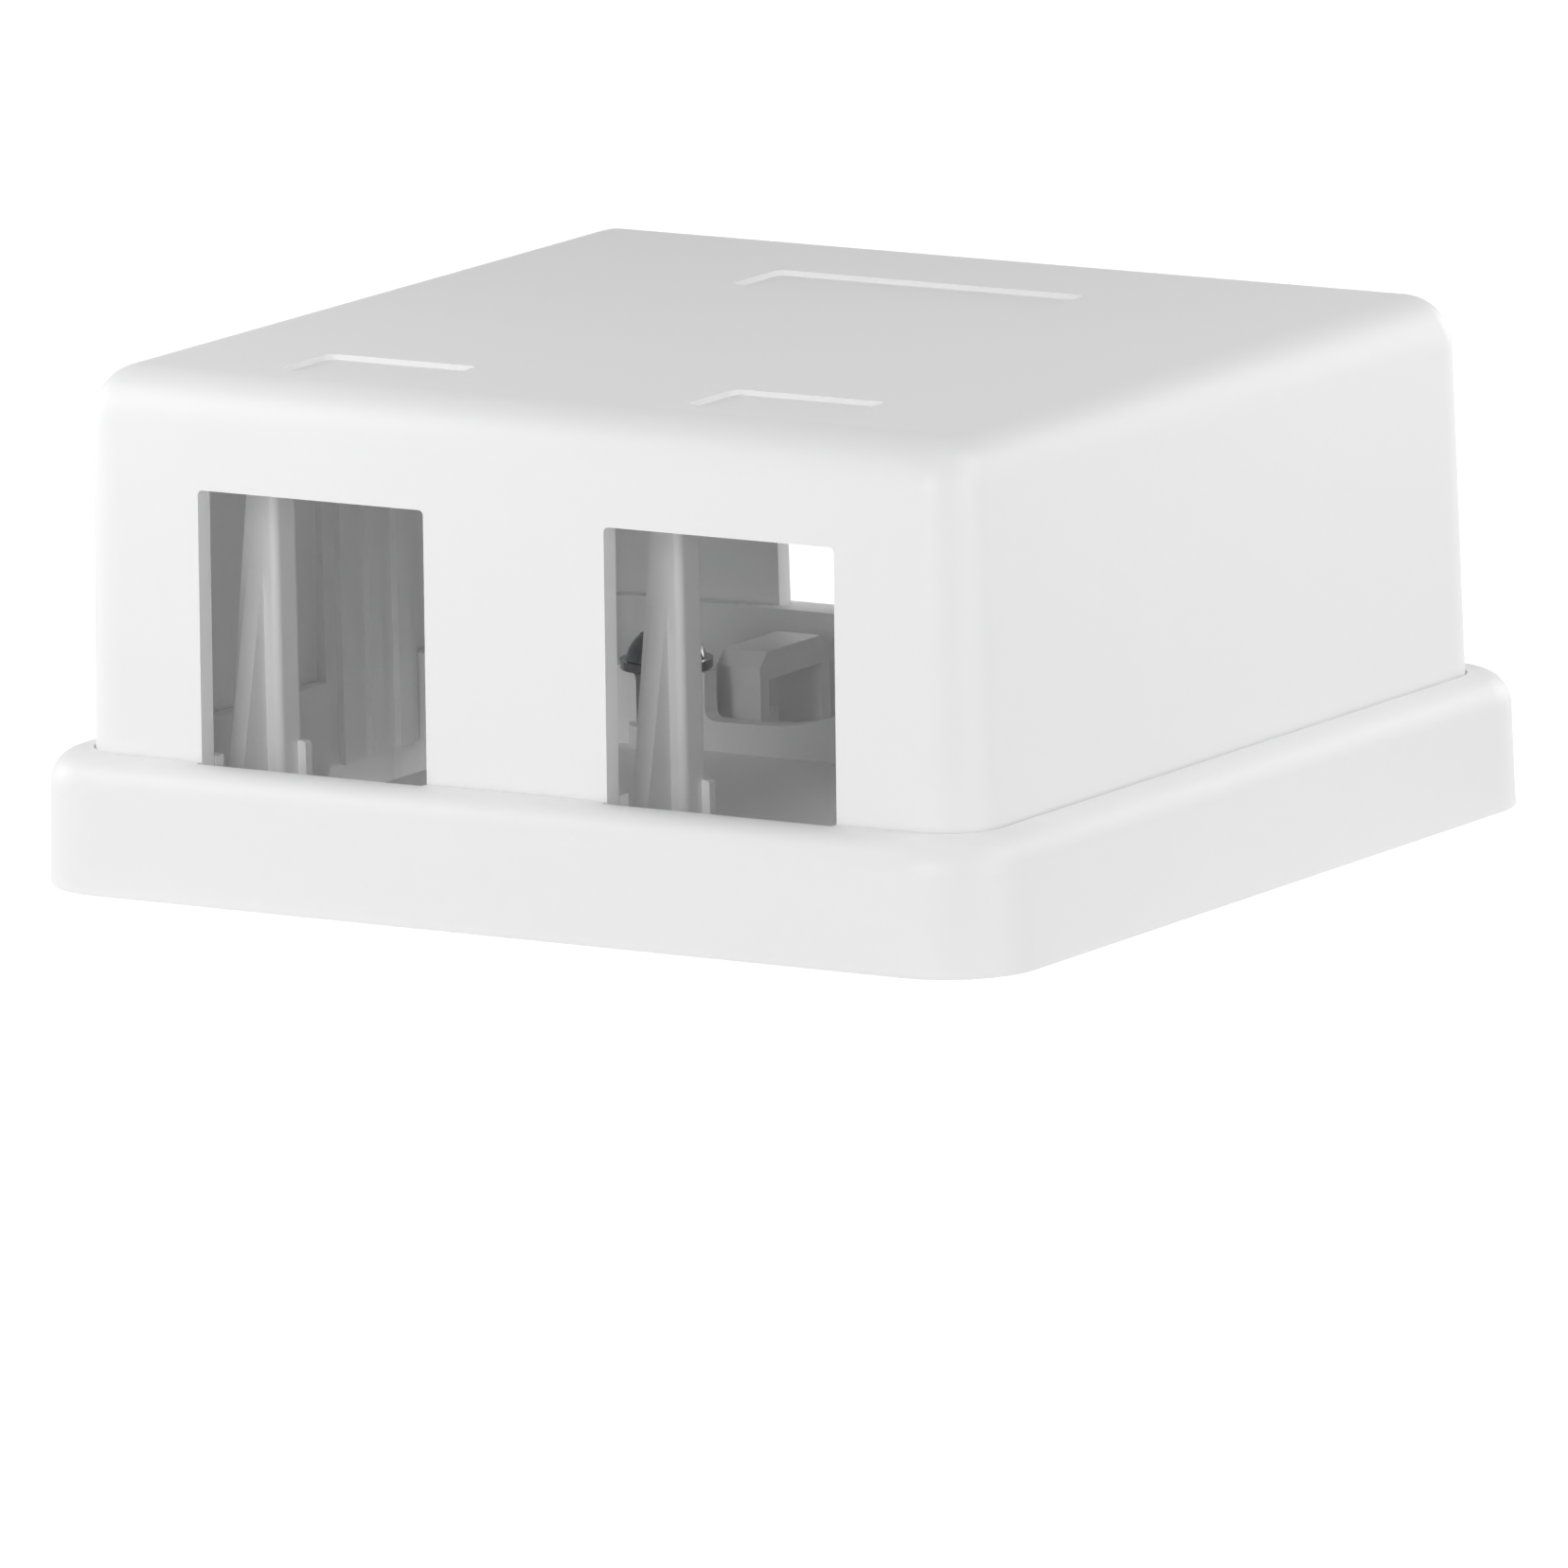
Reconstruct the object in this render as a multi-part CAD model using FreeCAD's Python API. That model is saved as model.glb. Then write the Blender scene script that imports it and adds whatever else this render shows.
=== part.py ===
import FreeCAD, Part
import math
import os

# Two-port surface mount jack box, millimetres.
# Origin: centre of the footprint on the wall side, +Z out of the wall,
# the jack openings face -Y and the cables enter from +Y.

# ---------------------------------------------------------------- base
BASE_X = 63.3            # footprint on the wall side
BASE_Y = 60.0
BASE_CORNER_R = 5.2
BASE_DRAFT = 1.5         # degrees
RIM_Z = 7.55             # top of the stepped rim round the cover
RIM_EDGE_R = 1.9         # rounding of the rim's outer shoulder
FLOOR = 2.0
RIM_SKIN = 1.8           # rim wall left outside the coring groove
CORE_WALL = 1.5          # wall left between groove and cavity
CORE_ROOF = 1.6          # left above the groove, under the cover's seat
LIP_Z = 7.65             # top of the locating lip inside the cover
LIP_T = 0.85
SILL_EDGE_R = 0.5        # easing of the rim's inner edge under each port

# --------------------------------------------------------------- cover
STEP_X = 2.45            # width of the rim's step, from the footprint's edge to the cover
STEP_Y = 2.65
COVER_X = BASE_X - 2 * STEP_X    # outside, at the rim's top
COVER_Y = BASE_Y - 2 * STEP_Y
COVER_CORNER_R = 3.2
COVER_DRAFT = 1.16       # degrees
HEIGHT = 29.0
TOP_EDGE_R = 2.9
WALL = 1.2
ROOF = 1.5
SEAT_Z = 6.3             # the cover's lower edge stands here in the base's rebate
FIT = 0.12               # clearance each side of the cover wall in the rebate

# ---------------------------------------------------------- jack ports
PORT_PITCH = 26.54
PORT_W = 14.8
PORT_TOP_Z = 22.74
PORT_CORNER_R = 0.3
PORTS = (-PORT_PITCH / 2, PORT_PITCH / 2)

JACK_DEPTH = 7.9         # from the cover's front to the posts, where a jack's latch stops
POST_Y = -COVER_Y / 2 + JACK_DEPTH
POST_D = 2.3
POST_TOP_Z = 24.5
POST_TOP_W = 1.5
POST_FOOT_W = 3.9
POST_EDGE_R = 0.45
GUSSET_T = 1.0           # stiffener on the front of each post
GUSSET_INSET = 0.9       # from the post's jack side
GUSSET_TOP_Z = 16.9
GUSSET_REACH = 3.6       # in front of the post at the floor
LUG_TOP_Z = 7.1          # small stop at the foot of each post
LUG_PROUD = 0.5
LUG_D = 0.6

# --------------------------------------------- cable entry and tie-down
NOTCH_W = 7.06           # cable notches in the cover's rear wall
NOTCH_TOP_Z = 13.6
NOTCH_CORNER_R = 1.0
BRIDGE_X = 12.6          # cable-tie bridge, centre from the middle
BRIDGE_W = 2.9
BRIDGE_GAP = 3.1         # from the guide wall's front face to the bridge's
BRIDGE_L = 7.3
BRIDGE_TOP_Z = 7.15
BRIDGE_LEG = 0.9
BRIDGE_BAR = 1.6
BRIDGE_CHAMFER = 0.85
GUIDE_BACK = 15.35       # from the cover's rear face to the guide wall in front of the bridges
GUIDE_Y = COVER_Y / 2 - GUIDE_BACK
BRIDGE_Y = GUIDE_Y + BRIDGE_GAP
GUIDE_T = 1.2
GUIDE_TOP_Z = 6.45
GUIDE_DIP_Z = 3.74       # bottom of the saddle each cable lies in
GUIDE_DIP_X = 12.9       # outer, steep side of the saddle
GUIDE_DIP_FLAT = 9.5     # where the flat bottom starts to rise inwards
GUIDE_FOOT_R = 0.6
GUIDE_RISE_R = 16.0
GUIDE_SLOT_W = 3.4       # slot in the wall that a parked screw stands in
GUIDE_SLOT_R = 0.8       # rounding of its outer shoulder, under the screw's head

# --------------------------------------------------------------- screws
SCREW_X = 15.8           # parked wall screws, in the guide wall's slots
SCREW_Y = GUIDE_Y + GUIDE_T / 2
SCREW_R = 1.2            # shank, without its thread
SCREW_HEAD_R = 2.64      # the flange under the dome
SCREW_RIM = 0.5
SCREW_DOME_R = 2.3
SCREW_DOME = 1.9
SCREW_HEAD_Z = 6.5       # underside of the head, which rests on the guide wall
SCREW_TIP_Z = 1.1
SCREW_TIP_R = 0.25
SCREW_POINT = 1.6
RECESS_W = 0.75          # cross recess
RECESS_L = 2.9
RECESS_DEPTH = 1.3
RECESS_TURN = 20.0       # degrees
BOSS_TOP_Z = 3.3
BOSS_WALL = 0.9
BOSS_FIT = 0.1           # round the shank; the thread bites into the boss
WALL_HOLE_R = 2.0        # holes that the base is screwed down through
WALL_HOLE_Y = -8.0

# ------------------------------------------------- side latches of cover
TONGUE_W = 9.3
TONGUE_PAD = 0.6         # how far its inner face stands in from the wall
TONGUE_TOP_Z = 25.0
TONGUE_END_Z = 2.7
TONGUE_FIT = 0.3
BEAD_Z = 4.1
BEAD_R = 0.35
RIB_COUNT = 3
RIB_PITCH = 2.88
RIB_W = 1.25
RIB_PROUD = 0.4
POCKET_REACH = 5.0       # of the slot through the floor below each tongue, in from the cover's face

# ----------------------------------------------------- label recesses
LABEL_DEPTH = 0.3
LABEL_EDGE_R = 0.5
PORT_LABEL = (9.7, 5.2)
PORT_LABEL_IN = 7.45     # from the cover's front to the centre of the two small ones
MAIN_LABEL = (20.2, 5.1)
MAIN_LABEL_IN = 13.45    # from the cover's rear face to the centre of the large one

BIG = 100.0
SPARE = 1.0              # how far a cutting tool runs past what it cuts
LEAST_R = 0.2            # smallest radius left where roundings meet
NEAR = 1e-3


def slope(degrees):
    return math.tan(math.radians(degrees))


def box(x0, x1, y0, y1, z0, z1):
    return Part.makeBox(x1 - x0, y1 - y0, z1 - z0, FreeCAD.Vector(x0, y0, z0))


def rounded_rectangle(hx, hy, r, z):
    """A closed outline round the Z axis with half sizes hx, hy and corners of radius r."""
    up = FreeCAD.Vector(0, 0, 1)
    edges = []
    for turn, sx, sy in ((0, 1, 1), (90, -1, 1), (180, -1, -1), (270, 1, -1)):
        centre = FreeCAD.Vector(sx * (hx - r), sy * (hy - r), z)
        edges.append(Part.makeCircle(r, centre, up, turn, turn + 90))
    arcs = list(edges)
    for i, arc in enumerate(arcs):
        start, end = arc.valueAt(arc.LastParameter), arcs[(i + 1) % 4]
        edges.insert(2 * i + 1, Part.makeLine(start, end.valueAt(end.FirstParameter)))
    return Part.Wire(edges)


def drafted(x, y, r, z0, z1, draft, at_z, inset=0.0):
    """A drafted block whose outline is x by y at height at_z, then taken in by inset all round.

    Its sides are planes, and its corners are cones that narrow with the draft.
    """
    up = FreeCAD.Vector(0, 0, 1)
    lean = slope(draft)
    low_r = max(r - inset + (at_z - z0) * lean, (z1 - z0) * lean + LEAST_R)
    shrink = (z1 - z0) * lean
    low = (x / 2 - inset + (at_z - z0) * lean, y / 2 - inset + (at_z - z0) * lean)
    bottom = rounded_rectangle(low[0], low[1], low_r, z0)
    top = rounded_rectangle(low[0] - shrink, low[1] - shrink, low_r - shrink, z1)
    faces = [Part.Face(bottom), Part.Face(top)]
    for i, (a, b) in enumerate(zip(bottom.OrderedEdges, top.OrderedEdges)):
        a0, a1 = a.valueAt(a.FirstParameter), a.valueAt(a.LastParameter)
        b0, b1 = b.valueAt(b.FirstParameter), b.valueAt(b.LastParameter)
        if isinstance(a.Curve, Part.Circle):
            faces.append(Part.makeLine(a0, b0).revolve(a.Curve.Center, up, 90))
        else:
            faces.append(Part.Face(Part.makePolygon([a0, a1, b1, b0, a0])))
    shell = Part.makeShell(faces)
    shell.sewShape()
    block = Part.makeSolid(shell)
    if block.Volume < 0:
        block.reverse()
    return block.removeSplitter()


def top_edges(shape):
    z = shape.BoundBox.ZMax
    return [e for e in shape.Edges if e.BoundBox.ZMin > z - NEAR]


def near(value, other):
    return abs(value - other) < NEAR


def upright(edge):
    return near(edge.BoundBox.ZLength, edge.Length)


def crosswise(edge):
    """Whether a straight edge runs along Y."""
    return near(edge.BoundBox.YLength, edge.Length)


def lengthwise(edge):
    """Whether a straight edge runs along X."""
    return near(edge.BoundBox.XLength, edge.Length)


def cover_block(inset, z0, z1):
    return drafted(COVER_X, COVER_Y, COVER_CORNER_R, z0, z1, COVER_DRAFT, RIM_Z, inset)


def extruded(points, axis, length):
    """A prism of a closed run of straight edges."""
    face = Part.Face(Part.makePolygon(points + points[:1]))
    return face.extrude(axis * length)


def mirrored(shape):
    return shape.mirror(FreeCAD.Vector(0, 0, 0), FreeCAD.Vector(1, 0, 0))


def both_sides(shape):
    return [shape, mirrored(shape)]


# ------------------------------------------------------------------ base
def rim():
    block = drafted(BASE_X, BASE_Y, BASE_CORNER_R, 0, RIM_Z, BASE_DRAFT, 0)
    return block.makeFillet(min(RIM_EDGE_R, BASE_CORNER_R - LEAST_R), top_edges(block))


def coring_groove():
    """The groove under the rim that keeps its walls even; it stops at the latch pockets."""
    roof = SEAT_Z - CORE_ROOF
    outer = drafted(BASE_X, BASE_Y, BASE_CORNER_R, -SPARE, roof, BASE_DRAFT, 0, RIM_SKIN)
    inner = cover_block(WALL + FIT + LIP_T - CORE_WALL, -2 * SPARE, roof + SPARE)
    half_w = TONGUE_W / 2 + TONGUE_FIT + RIM_SKIN
    stops = box(-BIG, BIG, -half_w, half_w, -SPARE, RIM_Z)
    return outer.cut(inner).cut(stops)


def cavity():
    return cover_block(WALL + FIT + LIP_T, FLOOR, LIP_Z + SPARE)


def cover_rebate():
    outer = cover_block(-FIT, SEAT_Z, LIP_Z + SPARE)
    inner = cover_block(WALL + FIT, SEAT_Z - SPARE, LIP_Z + 2 * SPARE)
    return outer.cut(inner)


def lip():
    """The lip inside the cover's wall, level with the rim and left out at the ports."""
    block = cover_block(WALL + FIT, SEAT_Z - SPARE, LIP_Z)
    for x in PORTS:
        block = block.cut(port_gap(x))
    return block


def port_gap(x):
    """The space across a port, as deep as the rebate and the lip."""
    y0 = -COVER_Y / 2 + WALL / 2
    return box(x - PORT_W / 2, x + PORT_W / 2, y0, y0 + WALL + FIT + LIP_T, SEAT_Z, LIP_Z + SPARE)


def sill_easing(x):
    """What rounds the rim's inner edge under a port."""
    y = -COVER_Y / 2 - FIT - SILL_EDGE_R
    z = RIM_Z - SILL_EDGE_R
    corner = box(x - PORT_W / 2, x + PORT_W / 2, y, y + 2 * SILL_EDGE_R, z, RIM_Z + SILL_EDGE_R)
    axis = FreeCAD.Vector(x - PORT_W, y, z)
    return corner.cut(Part.makeCylinder(SILL_EDGE_R, 2 * PORT_W, axis, FreeCAD.Vector(1, 0, 0)))


def sills():
    """Solid thresholds under the cable notches, level with the rim."""
    y0 = COVER_Y / 2 - WALL - FIT - LIP_T
    y1 = COVER_Y / 2 + 2 * FIT
    return [box(x - NOTCH_W / 2 + FIT, x + NOTCH_W / 2 - FIT, y0, y1, SEAT_Z - SPARE, RIM_Z) for x in PORTS]


def latch_pocket():
    """The slot that a side tongue of the cover hangs in, with the groove its bead clicks into."""
    wall_x = COVER_X / 2 + FIT
    half_w = TONGUE_W / 2 + TONGUE_FIT
    pocket = box(COVER_X / 2 - POCKET_REACH, wall_x, -half_w, half_w, -SPARE, LIP_Z + SPARE)
    groove = Part.makeCylinder(BEAD_R + FIT, 2 * half_w, FreeCAD.Vector(wall_x, -half_w, BEAD_Z),
                               FreeCAD.Vector(0, 1, 0))
    return pocket.fuse(groove)


def post(side):
    """A jack post; side is +1 when the jack is on its +X side. Its jack face is at x = 0."""
    y1 = POST_Y + POST_D
    root = FLOOR / 2
    lean = (POST_FOOT_W - POST_TOP_W) / (POST_TOP_Z - FLOOR)
    root_w = POST_FOOT_W + (FLOOR - root) * lean
    V = FreeCAD.Vector
    body = extruded([V(0, POST_Y, root), V(0, POST_Y, POST_TOP_Z),
                     V(-POST_TOP_W, POST_Y, POST_TOP_Z), V(-root_w, POST_Y, root)],
                    V(0, 1, 0), POST_D)
    body = body.makeFillet(POST_EDGE_R, [e for e in body.Edges if upright(e)])
    x1 = -GUSSET_INSET
    gusset = extruded([V(x1, POST_Y + GUSSET_T / 2, root), V(x1, POST_Y + GUSSET_T / 2, GUSSET_TOP_Z),
                       V(x1, POST_Y, GUSSET_TOP_Z), V(x1, POST_Y - GUSSET_REACH, root)],
                      V(-1, 0, 0), GUSSET_T)
    lug = box(-LUG_PROUD, LUG_PROUD, y1 - LUG_D, y1, root, LUG_TOP_Z)
    shoulder = [e for e in top_edges(lug) if crosswise(e) and e.BoundBox.XMin > 0]
    lug = lug.makeFillet(LUG_PROUD / 2, shoulder)
    whole = body.fuse([gusset, lug])
    return whole if side > 0 else mirrored(whole)


def posts():
    made = []
    for x in PORTS:
        for side in (1, -1):
            p = post(side)
            p.translate(FreeCAD.Vector(x - side * PORT_W / 2, 0, 0))
            made.append(p)
    return made


def tie_bridge():
    """A bridge that a cable tie is threaded under."""
    y0, y1 = BRIDGE_Y, BRIDGE_Y + BRIDGE_L
    x0 = -BRIDGE_X - BRIDGE_W / 2
    block = box(x0, x0 + BRIDGE_W, y0, y1, FLOOR / 2, BRIDGE_TOP_Z)
    block = block.makeChamfer(BRIDGE_CHAMFER, [e for e in top_edges(block) if lengthwise(e)])
    hole = box(x0 - SPARE, x0 + BRIDGE_W + SPARE, y0 + BRIDGE_LEG, y1 - BRIDGE_LEG,
               FLOOR, BRIDGE_TOP_Z - BRIDGE_BAR)
    return block.cut(hole)


def saddle():
    """The dip that a cable lies in: steep outside, flat, then rising in an arc to the middle."""
    rise = GUIDE_TOP_Z - GUIDE_DIP_Z
    reach = math.sqrt(GUIDE_RISE_R ** 2 - (GUIDE_RISE_R - rise) ** 2)
    inner = max(GUIDE_DIP_FLAT - reach, GUIDE_T / 2)
    top = GUIDE_RISE_R - math.sqrt(GUIDE_RISE_R ** 2 - (GUIDE_DIP_FLAT - inner) ** 2)
    angle = math.asin((GUIDE_DIP_FLAT - inner) / GUIDE_RISE_R) / 2
    middle = (GUIDE_DIP_FLAT - GUIDE_RISE_R * math.sin(angle),
              GUIDE_DIP_Z + GUIDE_RISE_R * (1 - math.cos(angle)))

    def at(x, z):
        return FreeCAD.Vector(-x, GUIDE_Y - SPARE, z)

    up = GUIDE_TOP_Z + SPARE
    corners = [at(GUIDE_DIP_X, up), at(GUIDE_DIP_X, GUIDE_DIP_Z), at(GUIDE_DIP_FLAT, GUIDE_DIP_Z),
               at(inner, GUIDE_DIP_Z + top), at(inner, up)]
    edges = [Part.makeLine(corners[0], corners[1]),
             Part.makeLine(corners[1], corners[2]),
             Part.Arc(corners[2], at(*middle), corners[3]).toShape(),
             Part.makeLine(corners[3], corners[4]),
             Part.makeLine(corners[4], corners[0])]
    dip = Part.Face(Part.Wire(edges)).extrude(FreeCAD.Vector(0, GUIDE_T + 2 * SPARE, 0))
    foot = [e for e in dip.Edges if crosswise(e) and near(e.BoundBox.ZMax, GUIDE_DIP_Z)
            and near(e.BoundBox.XMin, -GUIDE_DIP_X)]
    return dip.makeFillet(GUIDE_FOOT_R, foot)


def guide_wall():
    """The low wall across the base: a saddle for each cable and a slot for each parked screw."""
    half = COVER_X / 2 - WALL - FIT - LIP_T / 2
    plate = box(-half, half, GUIDE_Y, GUIDE_Y + GUIDE_T, FLOOR / 2, GUIDE_TOP_Z)
    slot_x = SCREW_X + GUIDE_SLOT_W / 2
    slot = box(-slot_x, -slot_x + GUIDE_SLOT_W, GUIDE_Y - SPARE, GUIDE_Y + GUIDE_T + SPARE, BOSS_TOP_Z, BIG)
    for cut in both_sides(saddle()) + both_sides(slot):
        plate = plate.cut(cut)
    shoulder = [e for e in top_edges(plate) if crosswise(e) and near(abs(e.BoundBox.XMin), slot_x)]
    return plate.makeFillet(GUIDE_SLOT_R, shoulder)


def screw_boss():
    root = FLOOR / 2
    centre = FreeCAD.Vector(-SCREW_X, SCREW_Y, root)
    return Part.makeCylinder(SCREW_R + BOSS_FIT + BOSS_WALL, BOSS_TOP_Z - root, centre)


def screw_bore():
    bottom = SCREW_TIP_Z / 2
    return Part.makeCylinder(SCREW_R + BOSS_FIT, BIG, FreeCAD.Vector(-SCREW_X, SCREW_Y, bottom))


def base():
    body = rim().fuse(lip()).cut(cover_rebate()).cut(cavity())
    body = body.fuse(sills()).cut(coring_groove())
    for pocket in both_sides(latch_pocket()):
        body = body.cut(pocket)
    body = body.fuse([guide_wall()] + both_sides(tie_bridge()) + both_sides(screw_boss()) + posts())
    for bore in both_sides(screw_bore()):
        body = body.cut(bore)
    for x in PORTS:
        body = body.cut(port_gap(x)).cut(sill_easing(x))
        hole = FreeCAD.Vector(x, WALL_HOLE_Y, -SPARE)
        body = body.cut(Part.makeCylinder(WALL_HOLE_R, FLOOR + 2 * SPARE, hole))
    return body.removeSplitter()


# ----------------------------------------------------------------- cover
def port_slot(x):
    slot = box(x - PORT_W / 2, x + PORT_W / 2, -BIG, -COVER_Y / 2 + 2 * WALL, 0, PORT_TOP_Z)
    return slot.makeFillet(PORT_CORNER_R, [e for e in top_edges(slot) if crosswise(e)])


def cable_notch(x):
    notch = box(x - NOTCH_W / 2, x + NOTCH_W / 2, COVER_Y / 2 - 2 * WALL, BIG, 0, NOTCH_TOP_Z)
    return notch.makeFillet(NOTCH_CORNER_R, [e for e in top_edges(notch) if crosswise(e)])


def label_recess(size, x, y):
    tool = Part.Face(rounded_rectangle(size[0] / 2, size[1] / 2, LABEL_EDGE_R, HEIGHT - LABEL_DEPTH))
    tool = tool.extrude(FreeCAD.Vector(0, 0, LABEL_DEPTH + SPARE))
    tool.translate(FreeCAD.Vector(x, y, 0))
    return tool


def side_latch():
    """The ribbed pad inside the +X wall, which runs down as a springy tongue with a bead outside."""
    face_x = COVER_X / 2 - WALL
    outer_x = COVER_X / 2 + FIT - TONGUE_FIT
    inner_x = face_x - TONGUE_PAD
    half_w = TONGUE_W / 2
    bead = Part.makeCylinder(BEAD_R, TONGUE_W - WALL, FreeCAD.Vector(outer_x, -half_w + WALL / 2, BEAD_Z),
                             FreeCAD.Vector(0, 1, 0))
    tongue = box(inner_x, outer_x, -half_w, half_w, TONGUE_END_Z, RIM_Z)
    pad = box(inner_x, face_x + WALL / 4, -half_w, half_w, RIM_Z - WALL, TONGUE_TOP_Z)
    ribs = []
    for i in range(RIB_COUNT):
        y = (i - (RIB_COUNT - 1) / 2) * RIB_PITCH
        ribs.append(box(inner_x - RIB_PROUD, inner_x + RIB_PROUD, y - RIB_W / 2, y + RIB_W / 2,
                        TONGUE_END_Z, TONGUE_TOP_Z))
    return tongue.fuse([pad, bead] + ribs)


def cover():
    shell = cover_block(0, SEAT_Z, HEIGHT)
    edge_r = min(TOP_EDGE_R, COVER_CORNER_R - LEAST_R)
    shell = shell.makeFillet(edge_r, top_edges(shell))
    hollow = cover_block(WALL, SEAT_Z - SPARE, HEIGHT - ROOF)
    hollow = hollow.makeFillet(max(edge_r - WALL, LEAST_R), top_edges(hollow))
    shell = shell.cut(hollow)
    for x in PORTS:
        shell = shell.cut(port_slot(x)).cut(cable_notch(x))
        shell = shell.cut(label_recess(PORT_LABEL, x, PORT_LABEL_IN - COVER_Y / 2))
    shell = shell.cut(label_recess(MAIN_LABEL, 0, COVER_Y / 2 - MAIN_LABEL_IN))
    return shell.fuse(both_sides(side_latch())).removeSplitter()


# ---------------------------------------------------------------- screws
def screw():
    """A pan-head screw standing on its point at the origin of its own axis, in its parked place."""
    V = FreeCAD.Vector
    z0, z1 = SCREW_HEAD_Z, SCREW_HEAD_Z + SCREW_RIM
    top = z1 + SCREW_DOME
    radius = (SCREW_DOME_R ** 2 + SCREW_DOME ** 2) / (2 * SCREW_DOME)
    angle = math.asin(SCREW_DOME_R / radius) / 2
    middle = V(radius * math.sin(angle), 0, top - radius * (1 - math.cos(angle)))
    shank_end = SCREW_TIP_Z + SCREW_POINT
    corners = [V(0, 0, top), V(0, 0, SCREW_TIP_Z), V(SCREW_TIP_R, 0, SCREW_TIP_Z), V(SCREW_R, 0, shank_end),
               V(SCREW_R, 0, z0), V(SCREW_HEAD_R, 0, z0), V(SCREW_HEAD_R, 0, z1), V(SCREW_DOME_R, 0, z1)]
    outline = [Part.makeLine(a, b) for a, b in zip(corners, corners[1:])]
    outline.append(Part.Arc(corners[-1], middle, corners[0]).toShape())
    body = Part.Face(Part.Wire(outline)).revolve(V(0, 0, 0), V(0, 0, 1), 360)
    for turn in (0, 90):
        arm = box(-RECESS_L / 2, RECESS_L / 2, -RECESS_W / 2, RECESS_W / 2, top - RECESS_DEPTH, top + SPARE)
        arm.rotate(V(0, 0, 0), V(0, 0, 1), turn + RECESS_TURN)
        body = body.cut(arm)
    body.translate(V(-SCREW_X, SCREW_Y, 0))
    return body


def main():
    os.makedirs("parts", exist_ok=True)
    left = screw()
    nodes = {"base": base(), "cover": cover(), "mounting_screw_left": left,
             "mounting_screw_right": mirrored(left)}
    for name, shape in nodes.items():
        solids = shape.Solids
        print(name, "solids", len(solids), "valid", shape.isValid(), "volume", round(shape.Volume, 1),
              "z", round(shape.BoundBox.ZMin, 2), round(shape.BoundBox.ZMax, 2))
        shape.exportStep("parts/%s.step" % name)


main()
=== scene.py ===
import math

import bmesh
import bpy
from mathutils import Matrix, Vector

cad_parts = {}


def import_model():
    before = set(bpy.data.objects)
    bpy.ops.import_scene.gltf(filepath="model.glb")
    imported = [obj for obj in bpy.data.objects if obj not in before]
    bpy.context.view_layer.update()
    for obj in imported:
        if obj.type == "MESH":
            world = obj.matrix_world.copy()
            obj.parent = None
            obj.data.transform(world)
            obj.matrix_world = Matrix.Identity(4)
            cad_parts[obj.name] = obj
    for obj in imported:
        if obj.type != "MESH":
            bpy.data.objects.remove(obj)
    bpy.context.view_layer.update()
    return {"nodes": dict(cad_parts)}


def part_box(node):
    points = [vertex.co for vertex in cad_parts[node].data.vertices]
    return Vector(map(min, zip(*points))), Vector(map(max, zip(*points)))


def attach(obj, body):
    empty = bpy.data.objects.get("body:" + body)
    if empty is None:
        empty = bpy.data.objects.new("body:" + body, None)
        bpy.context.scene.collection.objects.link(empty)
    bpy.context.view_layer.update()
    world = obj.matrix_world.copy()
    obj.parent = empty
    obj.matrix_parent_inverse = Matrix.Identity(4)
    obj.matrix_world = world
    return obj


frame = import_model()

MM = 0.001

# ------------------------------------------------------------- the screws
THREAD_CREST_R = 1.5 * MM
THREAD_ROOT_R = 1.15 * MM
THREAD_PITCH = 1.1 * MM
THREAD_CREST_W = 0.08 * THREAD_PITCH
THREAD_ROOT_W = 0.52 * THREAD_PITCH
THREAD_RUN_IN = 1.0            # turns over which the ridge rises at the point
THREAD_RUN_OUT = 0.4           # turns over which it fades under the head
THREAD_LEAST = 0.02            # share of the ridge's height left at its ends
THREAD_TIP_GAP = 1.2 * MM      # plain point
THREAD_TOP_GAP = 0.5 * MM      # plain shank left under the head
HEAD_HEIGHT = 2.4 * MM
STEPS_PER_TURN = 40


def thread(name, screw):
    """The helical ridge on a parked screw's shank."""
    low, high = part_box(screw)
    centre = (low + high) / 2
    start, end = low.z + THREAD_TIP_GAP, high.z - HEAD_HEIGHT - THREAD_TOP_GAP
    count = int((end - start) / THREAD_PITCH * STEPS_PER_TURN)
    bm = bmesh.new()
    rings = []
    for i in range(count + 1):
        angle = 2 * math.pi * i / STEPS_PER_TURN
        z = start + (end - start) * i / count
        risen = i / (THREAD_RUN_IN * STEPS_PER_TURN)
        to_go = (count - i) / (THREAD_RUN_OUT * STEPS_PER_TURN)
        share = max(min(1.0, risen, to_go), THREAD_LEAST)
        crest = THREAD_ROOT_R + (THREAD_CREST_R - THREAD_ROOT_R) * share
        profile = ((THREAD_ROOT_R, -THREAD_ROOT_W / 2), (crest, -THREAD_CREST_W / 2),
                   (crest, THREAD_CREST_W / 2), (THREAD_ROOT_R, THREAD_ROOT_W / 2))
        ring = [bm.verts.new((centre.x + r * math.cos(angle), centre.y + r * math.sin(angle), z + dz))
                for r, dz in profile]
        rings.append(ring)
    for a, b in zip(rings, rings[1:]):
        for k in range(len(a)):
            m = (k + 1) % len(a)
            bm.faces.new((a[k], a[m], b[m], b[k]))
    bm.faces.new(rings[0])
    bm.faces.new(rings[-1][::-1])
    bmesh.ops.recalc_face_normals(bm, faces=bm.faces)
    mesh = bpy.data.meshes.new(name)
    bm.to_mesh(mesh)
    bm.free()
    piece = bpy.data.objects.new(name, mesh)
    bpy.context.scene.collection.objects.link(piece)
    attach(piece, "base")
    return piece


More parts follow.
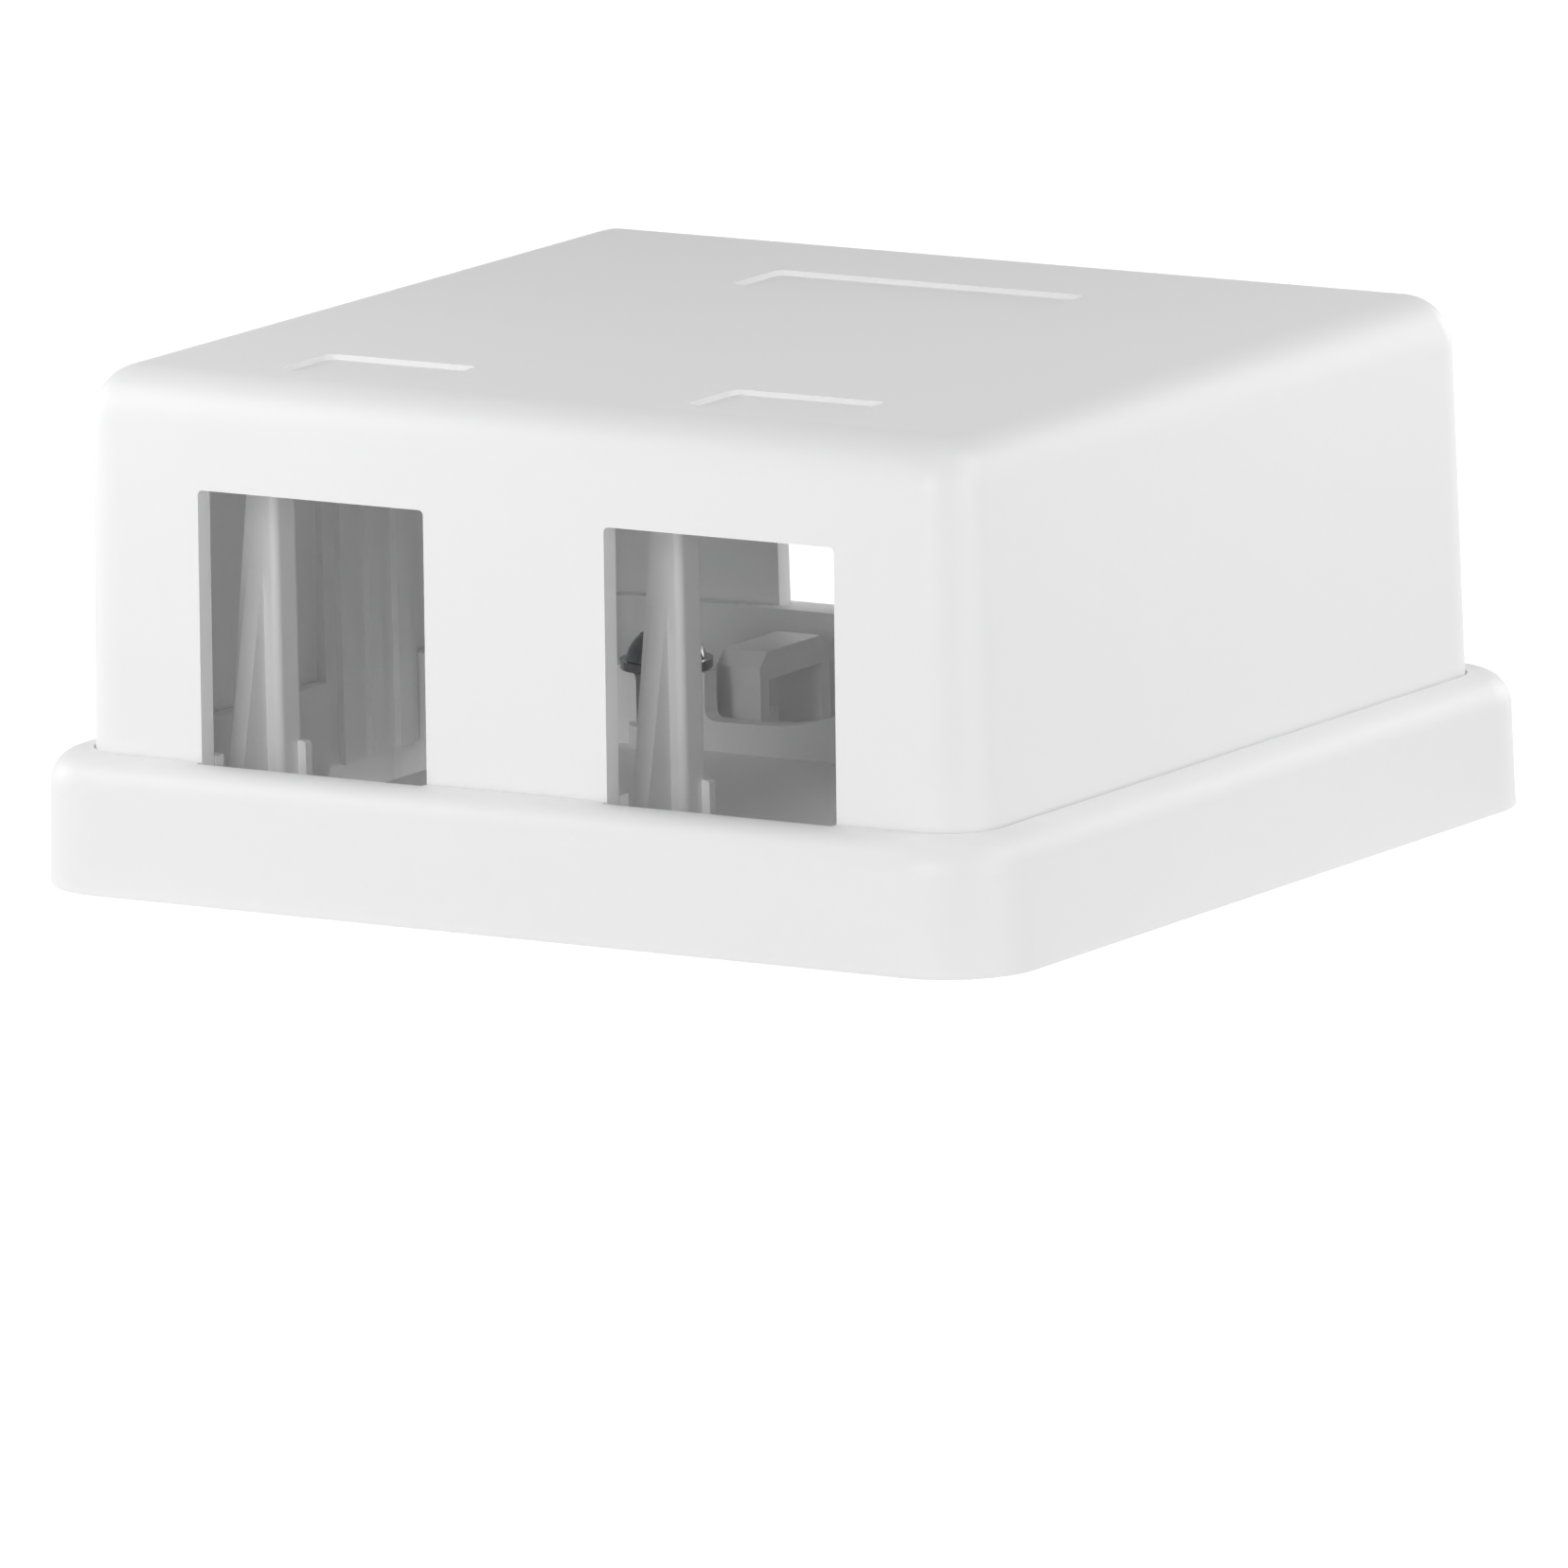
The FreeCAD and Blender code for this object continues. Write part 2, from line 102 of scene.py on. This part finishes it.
# ---------------------------------------------------------------- materials
# Noise scales are in spots per metre.
PLASTIC_SHADES = ((0.93, 0.93, 0.93, 1), (0.945, 0.945, 0.945, 1))
PLASTIC_CLOUDS = 90.0
PLASTIC_GRAIN = 6500.0
PLASTIC_ROUGHNESS = (0.36, 0.5)
PLASTIC_IOR = 1.49
GRAIN_STRENGTH = 0.12
GRAIN_DEPTH = 0.02 * MM
# painted shade: these steel shades are set darker than plated steel, standing in for the dim inside of
# the box that the metal mirrors
STEEL_PAINTED_DARK_SHADES = ((0.22, 0.22, 0.23, 1), (0.30, 0.30, 0.31, 1))
STEEL_GRAIN = 2500.0
STEEL_ROUGHNESS = (0.04, 0.10)


def principled(name):
    material = bpy.data.materials.new(name)
    material.use_nodes = True
    nodes, links = material.node_tree.nodes, material.node_tree.links
    return material, nodes, links, nodes["Principled BSDF"]


def noise(nodes, links, scale, detail=3.0, roughness=0.5):
    coords = nodes.new("ShaderNodeTexCoord")
    texture = nodes.new("ShaderNodeTexNoise")
    texture.inputs["Scale"].default_value = scale
    texture.inputs["Detail"].default_value = detail
    texture.inputs["Roughness"].default_value = roughness
    links.new(coords.outputs["Object"], texture.inputs["Vector"])
    return texture


def ranged(nodes, links, source, low, high):
    spread = nodes.new("ShaderNodeMapRange")
    spread.inputs["To Min"].default_value = low
    spread.inputs["To Max"].default_value = high
    links.new(source, spread.inputs["Value"])
    return spread.outputs["Result"]


def shaded(nodes, links, source, shades):
    """A colour that wanders between two shades."""
    tint = nodes.new("ShaderNodeMix")
    tint.data_type = "RGBA"
    tint.inputs["A"].default_value, tint.inputs["B"].default_value = shades
    links.new(source, tint.inputs["Factor"])
    return tint.outputs["Result"]


def white_plastic():
    """Satin white moulding plastic: fine spark-eroded grain, faint flow clouding."""
    material, nodes, links, shader = principled("white_moulded_plastic")
    cloud = noise(nodes, links, PLASTIC_CLOUDS, detail=2.0)
    links.new(shaded(nodes, links, cloud.outputs["Fac"], PLASTIC_SHADES), shader.inputs["Base Color"])
    grain = noise(nodes, links, PLASTIC_GRAIN, detail=2.0, roughness=0.6)
    links.new(ranged(nodes, links, grain.outputs["Fac"], *PLASTIC_ROUGHNESS), shader.inputs["Roughness"])
    bump = nodes.new("ShaderNodeBump")
    bump.inputs["Strength"].default_value = GRAIN_STRENGTH
    bump.inputs["Distance"].default_value = GRAIN_DEPTH
    links.new(grain.outputs["Fac"], bump.inputs["Height"])
    links.new(bump.outputs["Normal"], shader.inputs["Normal"])
    shader.inputs["IOR"].default_value = PLASTIC_IOR
    return material


def plated_steel():
    """Bright-finished plate with fine turning marks. Its colour is darkened below real plated steel as
    painted shade, standing in for the dim box inside that the metal mirrors.
    """
    material, nodes, links, shader = principled("plated_steel")
    grain = noise(nodes, links, STEEL_GRAIN)
    links.new(shaded(nodes, links, grain.outputs["Fac"], STEEL_PAINTED_DARK_SHADES), shader.inputs["Base Color"])
    shader.inputs["Metallic"].default_value = 1.0
    links.new(ranged(nodes, links, grain.outputs["Fac"], *STEEL_ROUGHNESS), shader.inputs["Roughness"])
    return material


def dress(piece, material):
    piece.data.materials.clear()
    piece.data.materials.append(material)


# -------------------------------------------------------------------- stage
TABLE_SIZE = 8
TABLE_DROP = 0.1 * MM          # below the part's underside
TABLE_SHADE = 0.75
TABLE_GLOW = 0.15              # of the lit table, on everything
TABLE_LIFT = 0.72              # more of it, for the camera and in gloss
SKY = 0.19
LIT_POINT = Vector((0, 0, 14 * MM))
BOUNCES = 16
DIFFUSE_BOUNCES = 12           # the white box lights its own inside

# azimuth (0 in front of the ports, 90 on +X), elevation, distance in metres, size, level
LAMPS = {
    "front_left": (-45, 33, 0.13, 0.07, 0.36),
    "front": (8, 14, 0.25, 0.12, 0.45),
    "front_right": (76, 12, 0.25, 0.12, 0.18),
    "right_side": (108, 37, 0.18, 0.10, 0.43),
    "rear": (165, 12, 0.25, 0.12, 0.24),
    "left_side": (270, 12, 0.25, 0.12, 0.24),
}


def from_angles(azimuth, elevation):
    """The direction in which something stands, seen from the object."""
    a, e = math.radians(azimuth), math.radians(elevation)
    return Vector((math.sin(a) * math.cos(e), -math.cos(a) * math.cos(e), math.sin(e)))


def camera_ray_mix(nodes, links):
    """1 for rays that see the surface directly, in gloss or through glass, else 0."""
    path = nodes.new("ShaderNodeLightPath")
    total = path.outputs["Is Camera Ray"]
    for ray in ("Is Glossy Ray", "Is Transmission Ray"):
        both = nodes.new("ShaderNodeMath")
        both.operation = "MAXIMUM"
        links.new(total, both.inputs[0])
        links.new(path.outputs[ray], both.inputs[1])
        total = both.outputs["Value"]
    return total


def floor():
    bpy.ops.mesh.primitive_plane_add(size=TABLE_SIZE, location=(0, 0, -TABLE_DROP))
    plane = bpy.context.object
    plane.name = "floor"
    material = bpy.data.materials.new("floor_white")
    material.use_nodes = True
    nodes, links = material.node_tree.nodes, material.node_tree.links
    nodes.clear()
    out = nodes.new("ShaderNodeOutputMaterial")
    matte = nodes.new("ShaderNodeBsdfDiffuse")
    matte.inputs["Color"].default_value = (TABLE_SHADE, TABLE_SHADE, TABLE_SHADE, 1)
    glow = nodes.new("ShaderNodeEmission")
    lift = nodes.new("ShaderNodeMath")
    lift.operation = "MULTIPLY_ADD"
    lift.inputs[1].default_value = TABLE_LIFT
    lift.inputs[2].default_value = TABLE_GLOW
    links.new(camera_ray_mix(nodes, links), lift.inputs[0])
    links.new(lift.outputs["Value"], glow.inputs["Strength"])
    both = nodes.new("ShaderNodeAddShader")
    links.new(matte.outputs["BSDF"], both.inputs[0])
    links.new(glow.outputs["Emission"], both.inputs[1])
    links.new(both.outputs["Shader"], out.inputs["Surface"])
    plane.data.materials.append(material)


def world():
    sky = bpy.data.worlds.new("studio")
    bpy.context.scene.world = sky
    sky.use_nodes = True
    nodes, links = sky.node_tree.nodes, sky.node_tree.links
    nodes.clear()
    out = nodes.new("ShaderNodeOutputWorld")
    mix = nodes.new("ShaderNodeMixShader")
    soft, seen = (nodes.new("ShaderNodeBackground") for _ in range(2))
    for light, strength in ((soft, SKY), (seen, 1.0)):
        light.inputs["Color"].default_value = (1, 1, 1, 1)
        light.inputs["Strength"].default_value = strength
    links.new(camera_ray_mix(nodes, links), mix.inputs["Fac"])
    links.new(soft.outputs["Background"], mix.inputs[1])
    links.new(seen.outputs["Background"], mix.inputs[2])
    links.new(mix.outputs["Shader"], out.inputs["Surface"])


def lamp(name, azimuth, elevation, distance, size, level):
    """A round soft box that faces the object.

    Its power goes with the square of its distance, so level alone says how brightly it lights.
    """
    data = bpy.data.lights.new(name, "AREA")
    data.shape = "DISK"
    data.size = size
    data.energy = 2 * math.pi * distance ** 2 * level
    holder = bpy.data.objects.new(name, data)
    towards = from_angles(azimuth, elevation)
    holder.location = LIT_POINT + towards * distance
    holder.rotation_euler = towards.to_track_quat("Z", "Y").to_euler()
    bpy.context.scene.collection.objects.link(holder)


def lights():
    for name, place in LAMPS.items():
        lamp(name, *place)
    cycles = bpy.context.scene.cycles
    cycles.diffuse_bounces = DIFFUSE_BOUNCES
    cycles.max_bounces = BOUNCES


# ------------------------------------------------------------------- camera
VIEW_AZIMUTH = 32.532
VIEW_ELEVATION = 10.888
VIEW_ROLL = -1.326
VIEW_DISTANCE = 1.3715
VIEW_TARGET = Vector((-0.0001, 0, 0.00326))
VIEW_SENSOR = 36
VIEW_LENS = 565.96
VIEW_END = 20


def camera():
    data = bpy.data.cameras.new("camera")
    data.sensor_width = VIEW_SENSOR
    data.lens = VIEW_LENS
    data.clip_end = VIEW_END
    holder = bpy.data.objects.new("camera", data)
    turn, roll = math.radians(VIEW_AZIMUTH), math.radians(VIEW_ROLL)
    back = from_angles(VIEW_AZIMUTH, VIEW_ELEVATION)
    right = Vector((math.cos(turn), math.sin(turn), 0))
    up = back.cross(right)
    rolled_right = right * math.cos(roll) + up * math.sin(roll)
    rolled_up = up * math.cos(roll) - right * math.sin(roll)
    holder.matrix_world = Matrix.Translation(VIEW_TARGET + back * VIEW_DISTANCE) @ Matrix(
        (rolled_right, rolled_up, back)).transposed().to_4x4()
    bpy.context.scene.collection.objects.link(holder)
    bpy.context.scene.camera = holder


# -------------------------------------------------------------------- build
plastic = white_plastic()
steel = plated_steel()
for node in ("base", "cover"):
    dress(frame["nodes"][node], plastic)
for side in ("left", "right"):
    screw_node = "mounting_screw_" + side
    dress(frame["nodes"][screw_node], steel)
    dress(thread("screw_thread_" + side, screw_node), steel)
floor()
world()
lights()
camera()
bpy.context.scene.view_settings.view_transform = "Standard"
